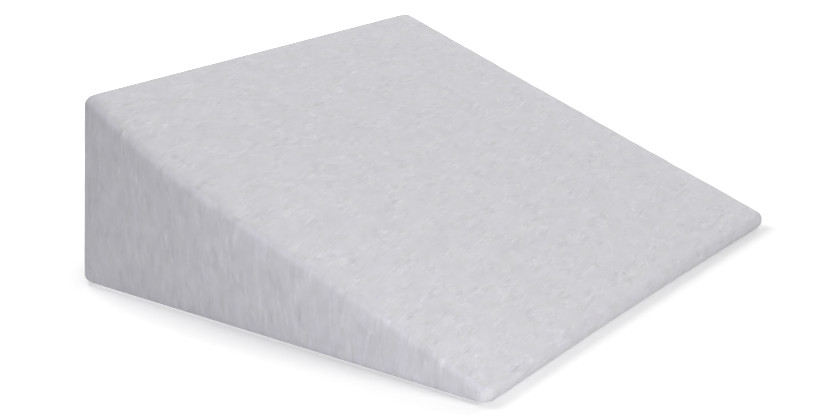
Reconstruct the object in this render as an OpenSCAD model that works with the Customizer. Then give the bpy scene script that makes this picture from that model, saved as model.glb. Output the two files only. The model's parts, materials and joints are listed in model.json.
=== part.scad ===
// Foam wedge cushion in a zipped knit cover
// Frame: origin at the centre of the base on the floor, X across the width,
// -Y towards the low front lip, +Y towards the tall back, +Z up

/* [Wedge] */
// Width across the base
wedge_w = 610; // [480:1:760]
// Depth from the front lip to the tall back
wedge_d = 523; // [420:1:660]
// Height where the slope meets the back, before that edge is rounded
wedge_h = 210; // [160:1:270]
// Height of the front lip, before it is rounded
lip_h = 17; // [13:0.5:30]
// Flat height left between the two rounds of the front lip
lip_flat = 2; // [1:0.5:4]
// Radius of the edges at the tall back
edge_r = 14; // [9:0.5:22]
// Radius of the front corners, seen from above
corner_r = 13; // [8:0.5:20]

/* [Soft form] */
// How far each side is drawn in at the height of the tall back
draw_in = 20; // [0:0.5:30]
// How far the front lip is drawn back midway between its corners
lip_waist = 2.5; // [0:0.1:6]
// Swell at the middle of the slope
top_crown = 3; // [0:0.1:8]
// Swell at the middle of each side
side_crown = 2; // [0:0.1:6]
// Swell at the middle of the back, above the zip
back_crown = 2.5; // [0:0.1:6]

/* [Cover] */
// Thickness of the knit fabric
fabric_t = 1.6; // [0.8:0.1:2.4]
// Room between the cover and the foam
foam_ease = 0.3; // [0.1:0.1:1]

/* [Zip chain] */
// Height of the zip's centre line above the floor
zip_z = 45; // [38:1:70]
// Distance from each side of the base to the end of the zip's opening
zip_margin = 55; // [45:1:90]
// Height of the opening between the two back panels
zip_slot_h = 12; // [11:0.5:16]
// Width of one zip tape
tape_w = 14; // [11:0.5:18]
// Thickness of the zip tape
tape_t = 0.6; // [0.4:0.1:1]
// Gap between the two tapes' edges
tape_gap = 1.6; // [1.4:0.1:2.4]
// Gap between the upper tape and the foot of the back's swell
swell_gap = 2; // [1:0.5:6]
// How far the tapes run on past each end of the opening
tape_tail = 12; // [6:1:16]
// Spacing of the teeth along one tape
tooth_pitch = 2.9; // [2.7:0.1:4]
// Width of one tooth along the tape
tooth_w = 1.2; // [0.9:0.05:1.25]
// Height of the teeth off the tape
tooth_t = 1.3; // [0.9:0.1:1.5]
// How far each tooth reaches past the zip's centre line
tooth_lap = 1; // [0.6:0.1:1.3]
// Half width of the closed chain, out to the beads that carry the teeth
chain_half = 3.2; // [2.9:0.1:3.4]
// Width of the bead that carries a row of teeth
bead_w = 1.3; // [1:0.1:1.4]
// Distance from each end of the opening to the stop there
stop_inset = 5; // [4:0.5:12]
// Length of a stop along the chain
stop_l = 3; // [2:0.5:5]

/* [Zip slider] */
// Running clearance of the slider
slide_gap = 0.3; // [0.2:0.05:0.4]
// Length of the slider
slider_l = 14; // [12:0.5:18]
// Width of the slider's leading end
slider_w = 9.4; // [9.2:0.1:10]
// Width of the slider's trailing end
slider_tail_w = 8.6; // [8.4:0.1:9]
// Thickness of the slider's two plates
plate_t = 0.9; // [0.6:0.1:1.2]
// Thickness of the flanges along the slider's sides
flange_t = 0.7; // [0.5:0.05:0.8]
// Length of the post that joins the plates
post_l = 3; // [2:0.5:4]
// Distance from the leading end to the post
post_inset = 1.5; // [1:0.5:3]
// Width of the bail that holds the pull
bail_w = 3; // [2:0.1:3.4]
// Outer radius of the bail's eye
bail_r = 2.1; // [1.8:0.1:2.4]
// Radius of the hole through the bail
bail_bore_r = 1.05; // [0.9:0.05:1.2]

/* [Zip pull] */
// Radius of the crossbar that turns in the bail
bar_r = 0.97; // [0.7:0.01:1]
// Length of the pull from the crossbar to its tip
pull_l = 26; // [18:1:40]
// Width of the pull at the crossbar
pull_w = 8; // [7:0.2:10]
// Width of the pull at its tip
pull_tip_w = 6; // [4:0.2:7]
// Thickness of the pull
pull_t = 1.3; // [0.8:0.1:1.6]
// Length of the window in the pull that the bail stands in
pull_window_l = 5; // [4:0.5:8]
// Side clearance between the bail and the pull's two arms
pull_gap = 0.4; // [0.3:0.05:0.8]
// Radius of the hole near the pull's tip
pull_hole_r = 1.3; // [0.8:0.1:1.6]

/* [Hidden] */
$fn = 48;

KNIT = [0.80, 0.80, 0.83];
FOAM = [0.95, 0.94, 0.90];
TAPE = [0.70, 0.70, 0.73];
TEETH = [0.78, 0.78, 0.80];
METAL = [0.72, 0.72, 0.74];

// Steps of the grid across, along and up the cushion, and round half an edge
steps_x = 6;
steps_y = 6;
steps_z = 3;
round_steps = 4;

// Angle of the slope, lean of the sides and vertical radius of the front lip
slope = atan((wedge_h - lip_h) / wedge_d);
lean = atan(draw_in / wedge_h);
nose_rise = corner_r * tan(slope) * (1 - sin(slope));
lip_r = (lip_h - lip_flat + nose_rise) / (1 + cos(slope));

// The cushion's six faces: outward normals, and distances of the faces from the origin
LEFT = 0;
RIGHT = 1;
FRONT = 2;
BACK = 3;
BOTTOM = 4;
TOP = 5;
normals = [
    [-cos(lean), 0, sin(lean)],
    [cos(lean), 0, sin(lean)],
    [0, -1, 0],
    [0, 1, 0],
    [0, 0, -1],
    [0, -sin(slope), cos(slope)]
];
distances = [
    normals[LEFT] * [-wedge_w / 2, 0, 0],
    normals[RIGHT] * [wedge_w / 2, 0, 0],
    wedge_d / 2,
    wedge_d / 2,
    0,
    normals[TOP] * [0, -wedge_d / 2, lip_h]
];

// The zip's lengths along X: its opening, its stops, and the slider at rest
zip_x1 = wedge_w / 2 - zip_margin;
zip_x0 = -zip_x1;
bottom_stop_x = zip_x0 + stop_inset;
top_stop_x = zip_x1 - stop_inset - stop_l;
slider_x1 = top_stop_x - slide_gap;
slider_x0 = slider_x1 - slider_l;
post_x1 = slider_x1 - post_inset;
post_x0 = post_x1 - post_l;
teeth_x0 = bottom_stop_x + stop_l + slide_gap;
teeth_x1 = post_x0 - slide_gap;

// The zip's levels along Y, from the foam outwards
back_y = wedge_d / 2;
tape_y1 = back_y - fabric_t;
tape_y0 = tape_y1 - tape_t;
teeth_y1 = tape_y1 + tooth_t;
lower_plate_y1 = tape_y0 - slide_gap;
lower_plate_y0 = lower_plate_y1 - plate_t;
upper_plate_y0 = teeth_y1 + slide_gap;
upper_plate_y1 = upper_plate_y0 + plate_t;
channel_y = lower_plate_y0 - slide_gap;
bail_x = (slider_x0 + slider_x1) / 2;
bail_y = upper_plate_y1 + bail_r;

// The back swells only above the tapes
back_low_z = edge_r;
back_high_z = meet(BACK, LEFT, TOP)[2];
band = (zip_z + tape_w + swell_gap - back_low_z) / (back_high_z - back_low_z);

// Shares of each side at which the grid has its lines
parts_x = [for (i = [0 : steps_x]) i / steps_x];
parts_y = [for (i = [0 : steps_y]) i / steps_y];
parts_z = concat([0], [for (i = [0 : steps_z]) mix(band, 1, i / steps_z)]);

function mix(a, b, t) = a + (b - a) * t;
function unit(v) = v / norm(v);
function bump(t) = 4 * t * (1 - t);

// Rounding at the corner of three faces: the radius seen from above, and the vertical one
function rounding(a, b, c) =
    a == FRONT || b == FRONT || c == FRONT ? [corner_r, lip_r] : [edge_r, edge_r];

// A direction stretched to the two radii of a rounding
function stretched(v, r) = [v[0] * r[0], v[1] * r[0], v[2] * r[1]];

// Centre of the rounded corner of three faces
function meet(a, b, c) =
    let (
        r = rounding(a, b, c),
        faces = [a, b, c],
        d = [for (f = faces) distances[f] - normals[f] * stretched(normals[f], r)],
        n = [for (f = faces) normals[f]]
    )
    (d[0] * cross(n[1], n[2]) + d[1] * cross(n[2], n[0]) + d[2] * cross(n[0], n[1]))
        / (n[0] * cross(n[1], n[2]));

// Grid lines from one neighbouring face to the other: share, neighbour, blend towards it
function lines(faces, parts) =
    concat(
        [for (k = [round_steps : -1 : 1]) [0, faces[0], tan(45 * k / round_steps)]],
        [for (p = parts) [p, faces[0], 0]],
        [for (k = [1 : round_steps]) [1, faces[1], tan(45 * k / round_steps)]]
    );

// Bilinear blend of a two by two list
function blend4(q, u, v) = mix(mix(q[0][0], q[0][1], u), mix(q[1][0], q[1][1], u), v);

// Points to a tenth of a micron, so that neighbouring faces share the same ones
function snapped(p) = [for (c = p) round(c * 1e4) / 1e4];

// Rows of points over one face, out to the middle of its rounded edges, a given depth inside.
// It swells by crown above the share swell_from, and waist draws its middle back at each end.
function skin(face, u_faces, v_faces, u_parts, v_parts, depth, crown = 0, swell_from = 0, waist = [0, 0]) =
    let (
        centres = [for (v = v_faces) [for (u = u_faces) meet(face, u, v)]],
        radii = [for (v = v_faces) [for (u = u_faces) rounding(face, u, v)]]
    )
    [for (v = lines(v_faces, v_parts)) [for (u = lines(u_faces, u_parts))
        let (
            out = unit(normals[face] + u[2] * normals[u[1]] + v[2] * normals[v[1]]),
            round_off = stretched(out, blend4(radii, u[0], v[0])),
            rise = max(0, (v[0] - swell_from) / (1 - swell_from)),
            swell = crown * bump(u[0]) * bump(rise),
            pull = mix(waist[0], waist[1], v[0]) * bump(u[0])
        )
        snapped(blend4(centres, u[0], v[0]) + round_off - depth * out + swell * normals[face] + [0, pull, 0])
    ]];

function top_skin(depth) =
    skin(TOP, [LEFT, RIGHT], [FRONT, BACK], parts_x, parts_y, depth, top_crown, 0, [lip_waist, 0]);
function front_skin(depth) =
    skin(FRONT, [LEFT, RIGHT], [BOTTOM, TOP], parts_x, parts_z, depth, 0, 0, [lip_waist, lip_waist]);
function bottom_skin(depth) =
    skin(BOTTOM, [LEFT, RIGHT], [BACK, FRONT], parts_x, parts_y, depth, 0, 0, [0, lip_waist]);
function back_skin(depth) =
    skin(BACK, [RIGHT, LEFT], [BOTTOM, TOP], parts_x, parts_z, depth, back_crown, band);
function left_skin(depth) =
    skin(LEFT, [BACK, FRONT], [BOTTOM, TOP], parts_y, parts_z, depth, side_crown);
function right_skin(depth) =
    skin(RIGHT, [FRONT, BACK], [BOTTOM, TOP], parts_y, parts_z, depth, side_crown);

// The slope and the lip are one piece of fabric, folded round the front
function slope_skin(depth) =
    let (lip = front_skin(depth), top = top_skin(depth))
    concat(lip, [for (i = [1 : len(top) - 1]) top[i]]);

// Triangles of a grid of points that start at a given index, seen from outside
function grid_faces(rows, cols, start) =
    [for (i = [0 : rows - 2]) for (j = [0 : cols - 2])
        let (a = start + i * cols + j, b = a + 1, c = b + cols, d = a + cols)
        each [[a, d, c], [a, c, b]]
    ];

// Triangles that close the rim between two equal grids, the second one following the first
function rim_faces(rows, cols) =
    let (
        last = (rows - 1) * cols,
        there = [for (j = [0 : cols - 1]) j],
        up = [for (i = [1 : rows - 1]) i * cols + cols - 1],
        back = [for (j = [cols - 2 : -1 : 0]) last + j],
        down = [for (i = [rows - 2 : -1 : 0]) i * cols],
        loop = concat(there, up, back, down),
        n = rows * cols
    )
    [for (k = [0 : len(loop) - 2])
        let (a = loop[k], b = loop[k + 1])
        each [[a, b, b + n], [a, b + n, a + n]]
    ];

function flat_list(rows) = [for (row = rows) each row];
function turned(faces) = [for (f = faces) [f[2], f[1], f[0]]];

// One fabric panel between its outer and its inner face
module panel(outer, inner) {
    rows = len(outer);
    cols = len(outer[0]);
    polyhedron(
        points = concat(flat_list(outer), flat_list(inner)),
        faces = concat(
            grid_faces(rows, cols, 0),
            turned(grid_faces(rows, cols, rows * cols)),
            rim_faces(rows, cols)
        )
    );
}

// A closed body inside six faces
module body(skins) {
    sizes = [for (s = skins) len(s) * len(s[0])];
    starts = [for (i = [0 : len(skins) - 1]) sum(sizes, i)];
    polyhedron(
        points = [for (s = skins) each flat_list(s)],
        faces = [for (i = [0 : len(skins) - 1])
            each grid_faces(len(skins[i]), len(skins[i][0]), starts[i])]
    );
}

// Sum of the first values of a list
function sum(values, count) = count == 0 ? 0 : values[count - 1] + sum(values, count - 1);

// A block between two opposite corners
module block(low, high) {
    translate(low) cube(high - low);
}

// A flat outline drawn in X and Z, given its thickness along Y
module upright(y0, y1) {
    translate([0, y1, 0]) rotate([90, 0, 0]) linear_extrude(y1 - y0) children();
}

// A copy mirrored about the zip's centre line
module other_side() {
    translate([0, 0, zip_z]) mirror([0, 0, 1]) translate([0, 0, -zip_z]) children();
}

// The foam block, with a shallow channel behind the zip
module foam_core() {
    depth = fabric_t + foam_ease;
    channel_x = zip_x1 + tape_tail + slide_gap;
    channel_h = tape_w + slide_gap;
    color(FOAM) difference() {
        body([
            top_skin(depth), front_skin(depth), bottom_skin(depth),
            back_skin(depth), left_skin(depth), right_skin(depth)
        ]);
        block([-channel_x, channel_y, zip_z - channel_h], [channel_x, back_y, zip_z + channel_h]);
    }
}

module top_panel() {
    color(KNIT) panel(slope_skin(0), slope_skin(fabric_t));
}

module left_side_panel() {
    color(KNIT) panel(left_skin(0), left_skin(fabric_t));
}

module right_side_panel() {
    color(KNIT) panel(right_skin(0), right_skin(fabric_t));
}

module bottom_panel() {
    color(KNIT) panel(bottom_skin(0), bottom_skin(fabric_t));
}

// The whole back before it is parted at the zip
module back_panel() {
    panel(back_skin(0), back_skin(fabric_t));
}

// The zip's opening, right through the back
module zip_slot() {
    slot_r = zip_slot_h / 2;
    upright(channel_y, back_y + fabric_t) {
        translate([zip_x0 + slot_r, zip_z - slot_r]) square([zip_x1 - zip_x0 - zip_slot_h, zip_slot_h]);
        for (x = [zip_x0 + slot_r, zip_x1 - slot_r]) translate([x, zip_z]) circle(slot_r);
    }
}

// All that lies to one side of the zip's centre line
module half_space(z0, z1) {
    block([-wedge_w, 0, z0], [wedge_w, wedge_d, z1]);
}

module back_upper_panel() {
    color(KNIT) difference() {
        back_panel();
        half_space(-wedge_h, zip_z);
        zip_slot();
    }
}

module back_lower_panel() {
    color(KNIT) difference() {
        back_panel();
        half_space(zip_z, 2 * wedge_h);
        zip_slot();
    }
}

module zip_tape_upper() {
    end = zip_x1 + tape_tail;
    color(TAPE) block([-end, tape_y0, zip_z + tape_gap / 2], [end, tape_y1, zip_z + tape_w]);
}

module zip_tape_lower() {
    other_side() zip_tape_upper();
}

// A row of teeth on its bead, from the first tooth's centre on
module tooth_row(first_x) {
    bead_in = chain_half - bead_w;
    count = floor((teeth_x1 - tooth_w / 2 - first_x) / tooth_pitch) + 1;
    comb = [for (i = [0 : count - 1])
        let (x = first_x + i * tooth_pitch)
        each [
            [x - tooth_w / 2, bead_in],
            [x - tooth_w / 2, -tooth_lap],
            [x + tooth_w / 2, -tooth_lap],
            [x + tooth_w / 2, bead_in]
        ]
    ];
    bead = [[teeth_x1, bead_in], [teeth_x1, chain_half], [teeth_x0, chain_half], [teeth_x0, bead_in]];
    color(TEETH) upright(tape_y1, teeth_y1) translate([0, zip_z]) polygon(concat(comb, bead));
}

module zip_teeth_upper() {
    tooth_row(teeth_x0 + tooth_w);
}

module zip_teeth_lower() {
    other_side() tooth_row(teeth_x0 + tooth_w + tooth_pitch / 2);
}

// The closed end has one stop on each tape
module zip_top_stops() {
    inner_z = tape_gap / 2;
    color(METAL) for (z = [zip_z + inner_z, zip_z - chain_half])
        block([top_stop_x, tape_y1, z], [top_stop_x + stop_l, teeth_y1, z + chain_half - inner_z]);
}

// The open end has one stop across both tapes
module zip_bottom_stop() {
    color(METAL) block(
        [bottom_stop_x, tape_y1, zip_z - chain_half],
        [bottom_stop_x + stop_l, teeth_y1, zip_z + chain_half]
    );
}

// The slider's outline, wider at its leading end
module slider_outline() {
    polygon([
        [slider_x0, zip_z - slider_tail_w / 2],
        [slider_x1, zip_z - slider_w / 2],
        [slider_x1, zip_z + slider_w / 2],
        [slider_x0, zip_z + slider_tail_w / 2]
    ]);
}

// The eye on the slider's outer plate that the pull turns in
module bail() {
    translate([bail_x, 0, zip_z - bail_w / 2]) linear_extrude(bail_w) difference() {
        union() {
            translate([0, bail_y]) circle(bail_r);
            translate([-bail_r, upper_plate_y0]) square([2 * bail_r, bail_y - upper_plate_y0]);
        }
        translate([0, bail_y]) circle(bail_bore_r);
    }
}

module zip_slider() {
    post_h = tape_gap - 2 * slide_gap;
    flange_y = tape_y1 + slide_gap;
    color(METAL) union() {
        upright(upper_plate_y0, upper_plate_y1) slider_outline();
        upright(lower_plate_y0, lower_plate_y1) slider_outline();
        block(
            [post_x0, lower_plate_y0, zip_z - post_h / 2],
            [post_x1, upper_plate_y1, zip_z + post_h / 2]
        );
        upright(flange_y, upper_plate_y1) difference() {
            slider_outline();
            translate([slider_x0 - slider_l, zip_z - slider_tail_w / 2 + flange_t])
                square([3 * slider_l, slider_tail_w - 2 * flange_t]);
        }
        bail();
    }
}

// The pull lies back along the closed chain
module zip_pull() {
    window_h = bail_w + 2 * pull_gap;
    tip_r = pull_tip_w / 2;
    tip_x = bail_x - pull_l + tip_r;
    color(METAL) union() {
        translate([bail_x, bail_y, zip_z - pull_w / 2]) cylinder(r = bar_r, h = pull_w);
        upright(bail_y - pull_t / 2, bail_y + pull_t / 2) translate([0, zip_z]) difference() {
            union() {
                polygon([
                    [bail_x, -pull_w / 2],
                    [bail_x, pull_w / 2],
                    [tip_x, tip_r],
                    [tip_x, -tip_r]
                ]);
                translate([tip_x, 0]) circle(tip_r);
            }
            translate([bail_x - pull_window_l, -window_h / 2]) square([2 * pull_window_l, window_h]);
            translate([tip_x, 0]) circle(pull_hole_r);
        }
    }
}

foam_core();
top_panel();
left_side_panel();
right_side_panel();
back_upper_panel();
back_lower_panel();
bottom_panel();
zip_tape_upper();
zip_tape_lower();
zip_teeth_upper();
zip_teeth_lower();
zip_top_stops();
zip_bottom_stop();
zip_slider();
zip_pull();
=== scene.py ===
"""Foam wedge cushion in a zipped knit cover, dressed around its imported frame.

X runs across the width, -Y towards the low front lip, +Y towards the tall back and Z up.
Lengths are in metres, and MM turns a size in millimetres into metres.
"""

import json
import logging
import math
from contextlib import contextmanager
from dataclasses import dataclass, field
from enum import Enum
from typing import Callable, Iterator

import bmesh
import bpy
import numpy as np
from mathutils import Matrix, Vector, kdtree, noise

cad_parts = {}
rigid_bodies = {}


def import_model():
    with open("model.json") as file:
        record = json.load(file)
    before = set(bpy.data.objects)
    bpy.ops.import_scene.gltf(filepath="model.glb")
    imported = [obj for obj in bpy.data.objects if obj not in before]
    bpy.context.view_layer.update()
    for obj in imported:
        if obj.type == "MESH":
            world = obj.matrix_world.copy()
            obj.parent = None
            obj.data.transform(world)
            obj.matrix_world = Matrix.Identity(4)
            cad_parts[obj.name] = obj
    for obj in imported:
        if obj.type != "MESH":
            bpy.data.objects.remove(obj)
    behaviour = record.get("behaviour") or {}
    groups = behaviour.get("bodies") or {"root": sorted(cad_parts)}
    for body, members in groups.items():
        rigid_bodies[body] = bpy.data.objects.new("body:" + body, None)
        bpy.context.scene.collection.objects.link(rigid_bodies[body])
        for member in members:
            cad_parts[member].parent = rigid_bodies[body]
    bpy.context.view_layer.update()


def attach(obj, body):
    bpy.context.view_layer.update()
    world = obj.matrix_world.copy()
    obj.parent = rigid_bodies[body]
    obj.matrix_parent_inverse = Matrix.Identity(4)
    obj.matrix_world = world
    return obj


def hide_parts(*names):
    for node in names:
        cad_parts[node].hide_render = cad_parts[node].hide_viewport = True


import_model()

MM = 0.001
HAIR = 0.002 * MM
SKIM = 0.02 * MM
NEAR = 0.1 * MM
TINY = 1e-9
ALIGNED = 0.9
CRISP_ANGLE = 40
CLOTH_MAP = "cloth_run"
CUT_MARK = "cut_"
LOG = logging.getLogger("wedge_cushion")

Object = bpy.types.Object
Material = bpy.types.Material
Socket = bpy.types.NodeSocket
Size = tuple[float, float]
Point = tuple[float, float, float]
Colour = tuple[float, float, float]
Element = bmesh.types.BMVert | bmesh.types.BMEdge | bmesh.types.BMFace


class Body(Enum):
    """Bodies of the frame that pieces ride on."""

    CUSHION = "cushion"
    SLIDER = "slider"
    PULL = "pull"


class Slot(Enum):
    """Material slots of the record."""

    KNIT = "knit_cover"
    FOAM = "foam"
    TAPE = "zip_tape"
    TEETH = "zip_teeth"
    METAL = "zip_metal"


class Panel(Enum):
    """Pieces of knit that the cover is cut as."""

    TOP = "top"
    LEFT = "left_side"
    RIGHT = "right_side"
    BACK = "back"
    BOTTOM = "bottom"


class Half(Enum):
    """Halves of the zip, above and below its centre line."""

    UPPER = 1
    LOWER = -1


@dataclass(frozen=True)
class HeatherRun:
    """How heather lies on a panel: its angle in degrees, a fleck's size, its parts' shares, its tone, which
    on upright panels is a painted cool shade.
    """

    angle: float
    length: float
    width: float
    flecks: float
    streaks: float
    clouds: float
    # A tint over the knit's colour; the cool tint of the upright panels is painted shade.
    tone: Colour


class Grain(Enum):
    """Ways that the heather runs."""

    ACROSS = HeatherRun(6.0, 14 * MM, 3.3 * MM, 0.95, 0.95, 0.9, (1.0, 1.0, 1.0))
    # Painted shade: the cool, slightly darker tone of the upright panels.
    UPRIGHT = HeatherRun(90.0, 18 * MM, 4.5 * MM, 0.8, 1.1, 1.2, (0.998, 0.993, 1.018))


def deselect() -> None:
    """Leaves nothing selected, in object mode."""
    if bpy.context.object and bpy.context.object.mode != "OBJECT":
        bpy.ops.object.mode_set(mode="OBJECT")
    bpy.ops.object.select_all(action="DESELECT")


def activate(piece: Object) -> None:
    """Makes a piece the only selected and the active one.

    Args:
        piece: The object.
    """
    deselect()
    piece.select_set(True)
    bpy.context.view_layer.objects.active = piece


@contextmanager
def editing(piece: Object, action: str = "DESELECT") -> Iterator[None]:
    """Opens a piece in edit mode and closes it again.

    Args:
        piece: The mesh to open.
        action: SELECT to begin with all of it selected, DESELECT with nothing.
    """
    activate(piece)
    bpy.ops.object.mode_set(mode="EDIT")
    bpy.ops.mesh.select_all(action=action)
    yield
    bpy.ops.object.mode_set(mode="OBJECT")


def pick(piece: Object, kind: str, test: Callable[[Element], bool]) -> None:
    """Selects just those elements of an open piece that pass a test.

    Args:
        piece: The mesh that is open in edit mode.
        kind: VERT, EDGE or FACE.
        test: Says for one element whether it is wanted.
    """
    bpy.ops.mesh.select_mode(type=kind)
    bpy.ops.mesh.select_all(action="DESELECT")
    mesh = bmesh.from_edit_mesh(piece.data)
    elements = {"VERT": mesh.verts, "EDGE": mesh.edges, "FACE": mesh.faces}[kind]
    for element in elements:
        if test(element):
            element.select_set(True)
    mesh.select_flush_mode()
    bmesh.update_edit_mesh(piece.data)


def runs_along(edge: bmesh.types.BMEdge, axis: int) -> bool:
    """Says whether an edge lies along an axis."""
    span = edge.verts[1].co - edge.verts[0].co
    return abs(span[axis]) > ALIGNED * span.length


def settle(piece: Object, name: str) -> Object:
    """Names a piece and moves its place into its mesh.

    Args:
        piece: The object, at any place and scale.
        name: Its new name.

    Returns:
        The same object, at the origin, unturned and unscaled.
    """
    activate(piece)
    bpy.ops.object.transform_apply(location=True, rotation=True, scale=True)
    piece.name = name
    piece.data.name = name
    return piece


def add_block(name: str, low: Point, high: Point) -> Object:
    """Adds a cube between two opposite corners.

    Args:
        name: The new object's name.
        low: Its lowest corner.
        high: Its highest corner.

    Returns:
        The new object.
    """
    deselect()
    middle = [(a + b) / 2 for a, b in zip(low, high)]
    bpy.ops.mesh.primitive_cube_add(size=1, location=middle)
    block = bpy.context.object
    block.scale = [b - a for a, b in zip(low, high)]
    return settle(block, name)


def add_rod(
    name: str, centre: Point, radius: float, length: float, sides: int, turn: Point = (0, 0, 0)
) -> Object:
    """Adds a cylinder.

    Args:
        name: The new object's name.
        centre: Its middle.
        radius: Its radius.
        length: Its length along its axis, which is Z before the turn.
        sides: How many sides it has.
        turn: Its turn about X, Y and Z, in radians.

    Returns:
        The new object.
    """
    deselect()
    bpy.ops.mesh.primitive_cylinder_add(
        vertices=sides, radius=radius, depth=length, location=centre, rotation=turn
    )
    return settle(bpy.context.object, name)


def finish_modifier(piece: Object, kind: str, **settings: object) -> None:
    """Adds a modifier to a piece and applies it.

    Args:
        piece: The object.
        kind: The modifier's type.
        settings: The modifier's values by name.
    """
    modifier = piece.modifiers.new(kind.lower(), kind)
    for name, value in settings.items():
        setattr(modifier, name, value)
    activate(piece)
    bpy.ops.object.modifier_apply(modifier=modifier.name)


def refine(piece: Object) -> None:
    """Subdivides a piece's surface smoothly, once."""
    finish_modifier(piece, "SUBSURF", levels=1, render_levels=1)


def cut_away(piece: Object, cutter: Object) -> None:
    """Takes a cutter's shape out of a piece, and removes the cutter."""
    finish_modifier(piece, "BOOLEAN", operation="DIFFERENCE", object=cutter, solver="EXACT")
    bpy.data.objects.remove(cutter)


def repeat(piece: Object, count: int, pitch: float) -> None:
    """Repeats a piece along X.

    Args:
        piece: The first of the row.
        count: How many there are in the row.
        pitch: The step from one to the next.
    """
    spaced = {"use_relative_offset": False, "use_constant_offset": True}
    finish_modifier(piece, "ARRAY", count=count, constant_offset_displace=(pitch, 0, 0), **spaced)


def copy_of(piece: Object, name: str) -> Object:
    """Copies a piece with its own mesh.

    Args:
        piece: The object.
        name: The copy's name.

    Returns:
        The copy.
    """
    activate(piece)
    bpy.ops.object.duplicate()
    twin = bpy.context.object
    twin.name = name
    twin.data.name = name
    return twin


def join(pieces: list[Object], name: str) -> Object:
    """Joins pieces into one mesh.

    Args:
        pieces: The objects, of which the first one stays.
        name: The joined object's name.

    Returns:
        The joined object.
    """
    activate(pieces[0])
    for piece in pieces[1:]:
        piece.select_set(True)
    bpy.ops.object.join()
    return settle(pieces[0], name)


def face_outwards(piece: Object) -> None:
    """Merges a piece's doubles and turns its faces outwards.

    Args:
        piece: The object.
    """
    with editing(piece, "SELECT"):
        bpy.ops.mesh.remove_doubles(threshold=HAIR)
        bpy.ops.mesh.normals_make_consistent(inside=False)


def shade_by_angle(piece: Object, degrees: float) -> None:
    """Shades a piece smooth, with edges sharper than an angle left crisp."""
    activate(piece)
    bpy.ops.object.shade_smooth_by_angle(angle=math.radians(degrees))


def round_edges(piece: Object, width: float, segments: int = 2, degrees: float = 35) -> Object:
    """Rounds a piece's sharp edges and shades it.

    Args:
        piece: The object.
        width: Width of the bevel.
        segments: Steps of the bevel.
        degrees: Edges sharper than this are rounded.

    Returns:
        The same object.
    """
    limit = {"limit_method": "ANGLE", "angle_limit": math.radians(degrees)}
    finish_modifier(piece, "BEVEL", width=width, segments=segments, **limit)
    with editing(piece, "SELECT"):
        bpy.ops.mesh.dissolve_degenerate(threshold=HAIR)
    shade_by_angle(piece, CRISP_ANGLE)
    return piece


def points_of(piece: Object, value: str = "co") -> np.ndarray:
    """Reads a piece's points.

    Args:
        piece: The object.
        value: What is read: co for their places, normal for their normals.

    Returns:
        The values, one row a point.
    """
    values = np.empty(len(piece.data.vertices) * 3, np.float32)
    piece.data.vertices.foreach_get(value, values)
    return values.reshape(-1, 3).astype(float)


def set_points(piece: Object, points: np.ndarray) -> None:
    """Moves a piece's points to new places."""
    piece.data.vertices.foreach_set("co", points.astype(np.float32).ravel())
    piece.data.update()


def smooth_step(values: np.ndarray, start: float, end: float) -> np.ndarray:
    """Rises smoothly from 0 at start to 1 at end."""
    share = np.clip((values - start) / (end - start), 0, 1)
    return share * share * (3 - 2 * share)


def ripple(points: np.ndarray, length: float, seed: float) -> np.ndarray:
    """Gives a smooth wandering value from -1 to 1 at each point.

    Args:
        points: The places, one row each.
        length: Length over which the value wanders.
        seed: Shift that makes this ripple differ from others.

    Returns:
        One value a point.
    """
    shift = Vector((seed, 1.7 * seed, -0.6 * seed))
    return np.array([noise.noise(Vector(point) / length + shift) for point in points])


def dress(piece: Object, material: Material, body: Body, slot: Slot, *nodes: str) -> Object:
    """Gives a finished piece its material and its body, and hides the CAD nodes that it stands for.

    Args:
        piece: The object.
        material: Its one material.
        body: The body that it moves with.
        slot: The record's slot for its finish; not used.
        nodes: CAD nodes that it replaces.

    Returns:
        The same object.
    """
    piece.data.materials.clear()
    piece.data.materials.append(material)
    piece.data.polygons.foreach_set("material_index", [0] * len(piece.data.polygons))
    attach(piece, body.value)
    if nodes:
        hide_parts(*nodes)
    LOG.info("%s: %d faces, rides on %s", piece.name, len(piece.data.polygons), body.value)
    return piece


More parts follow.
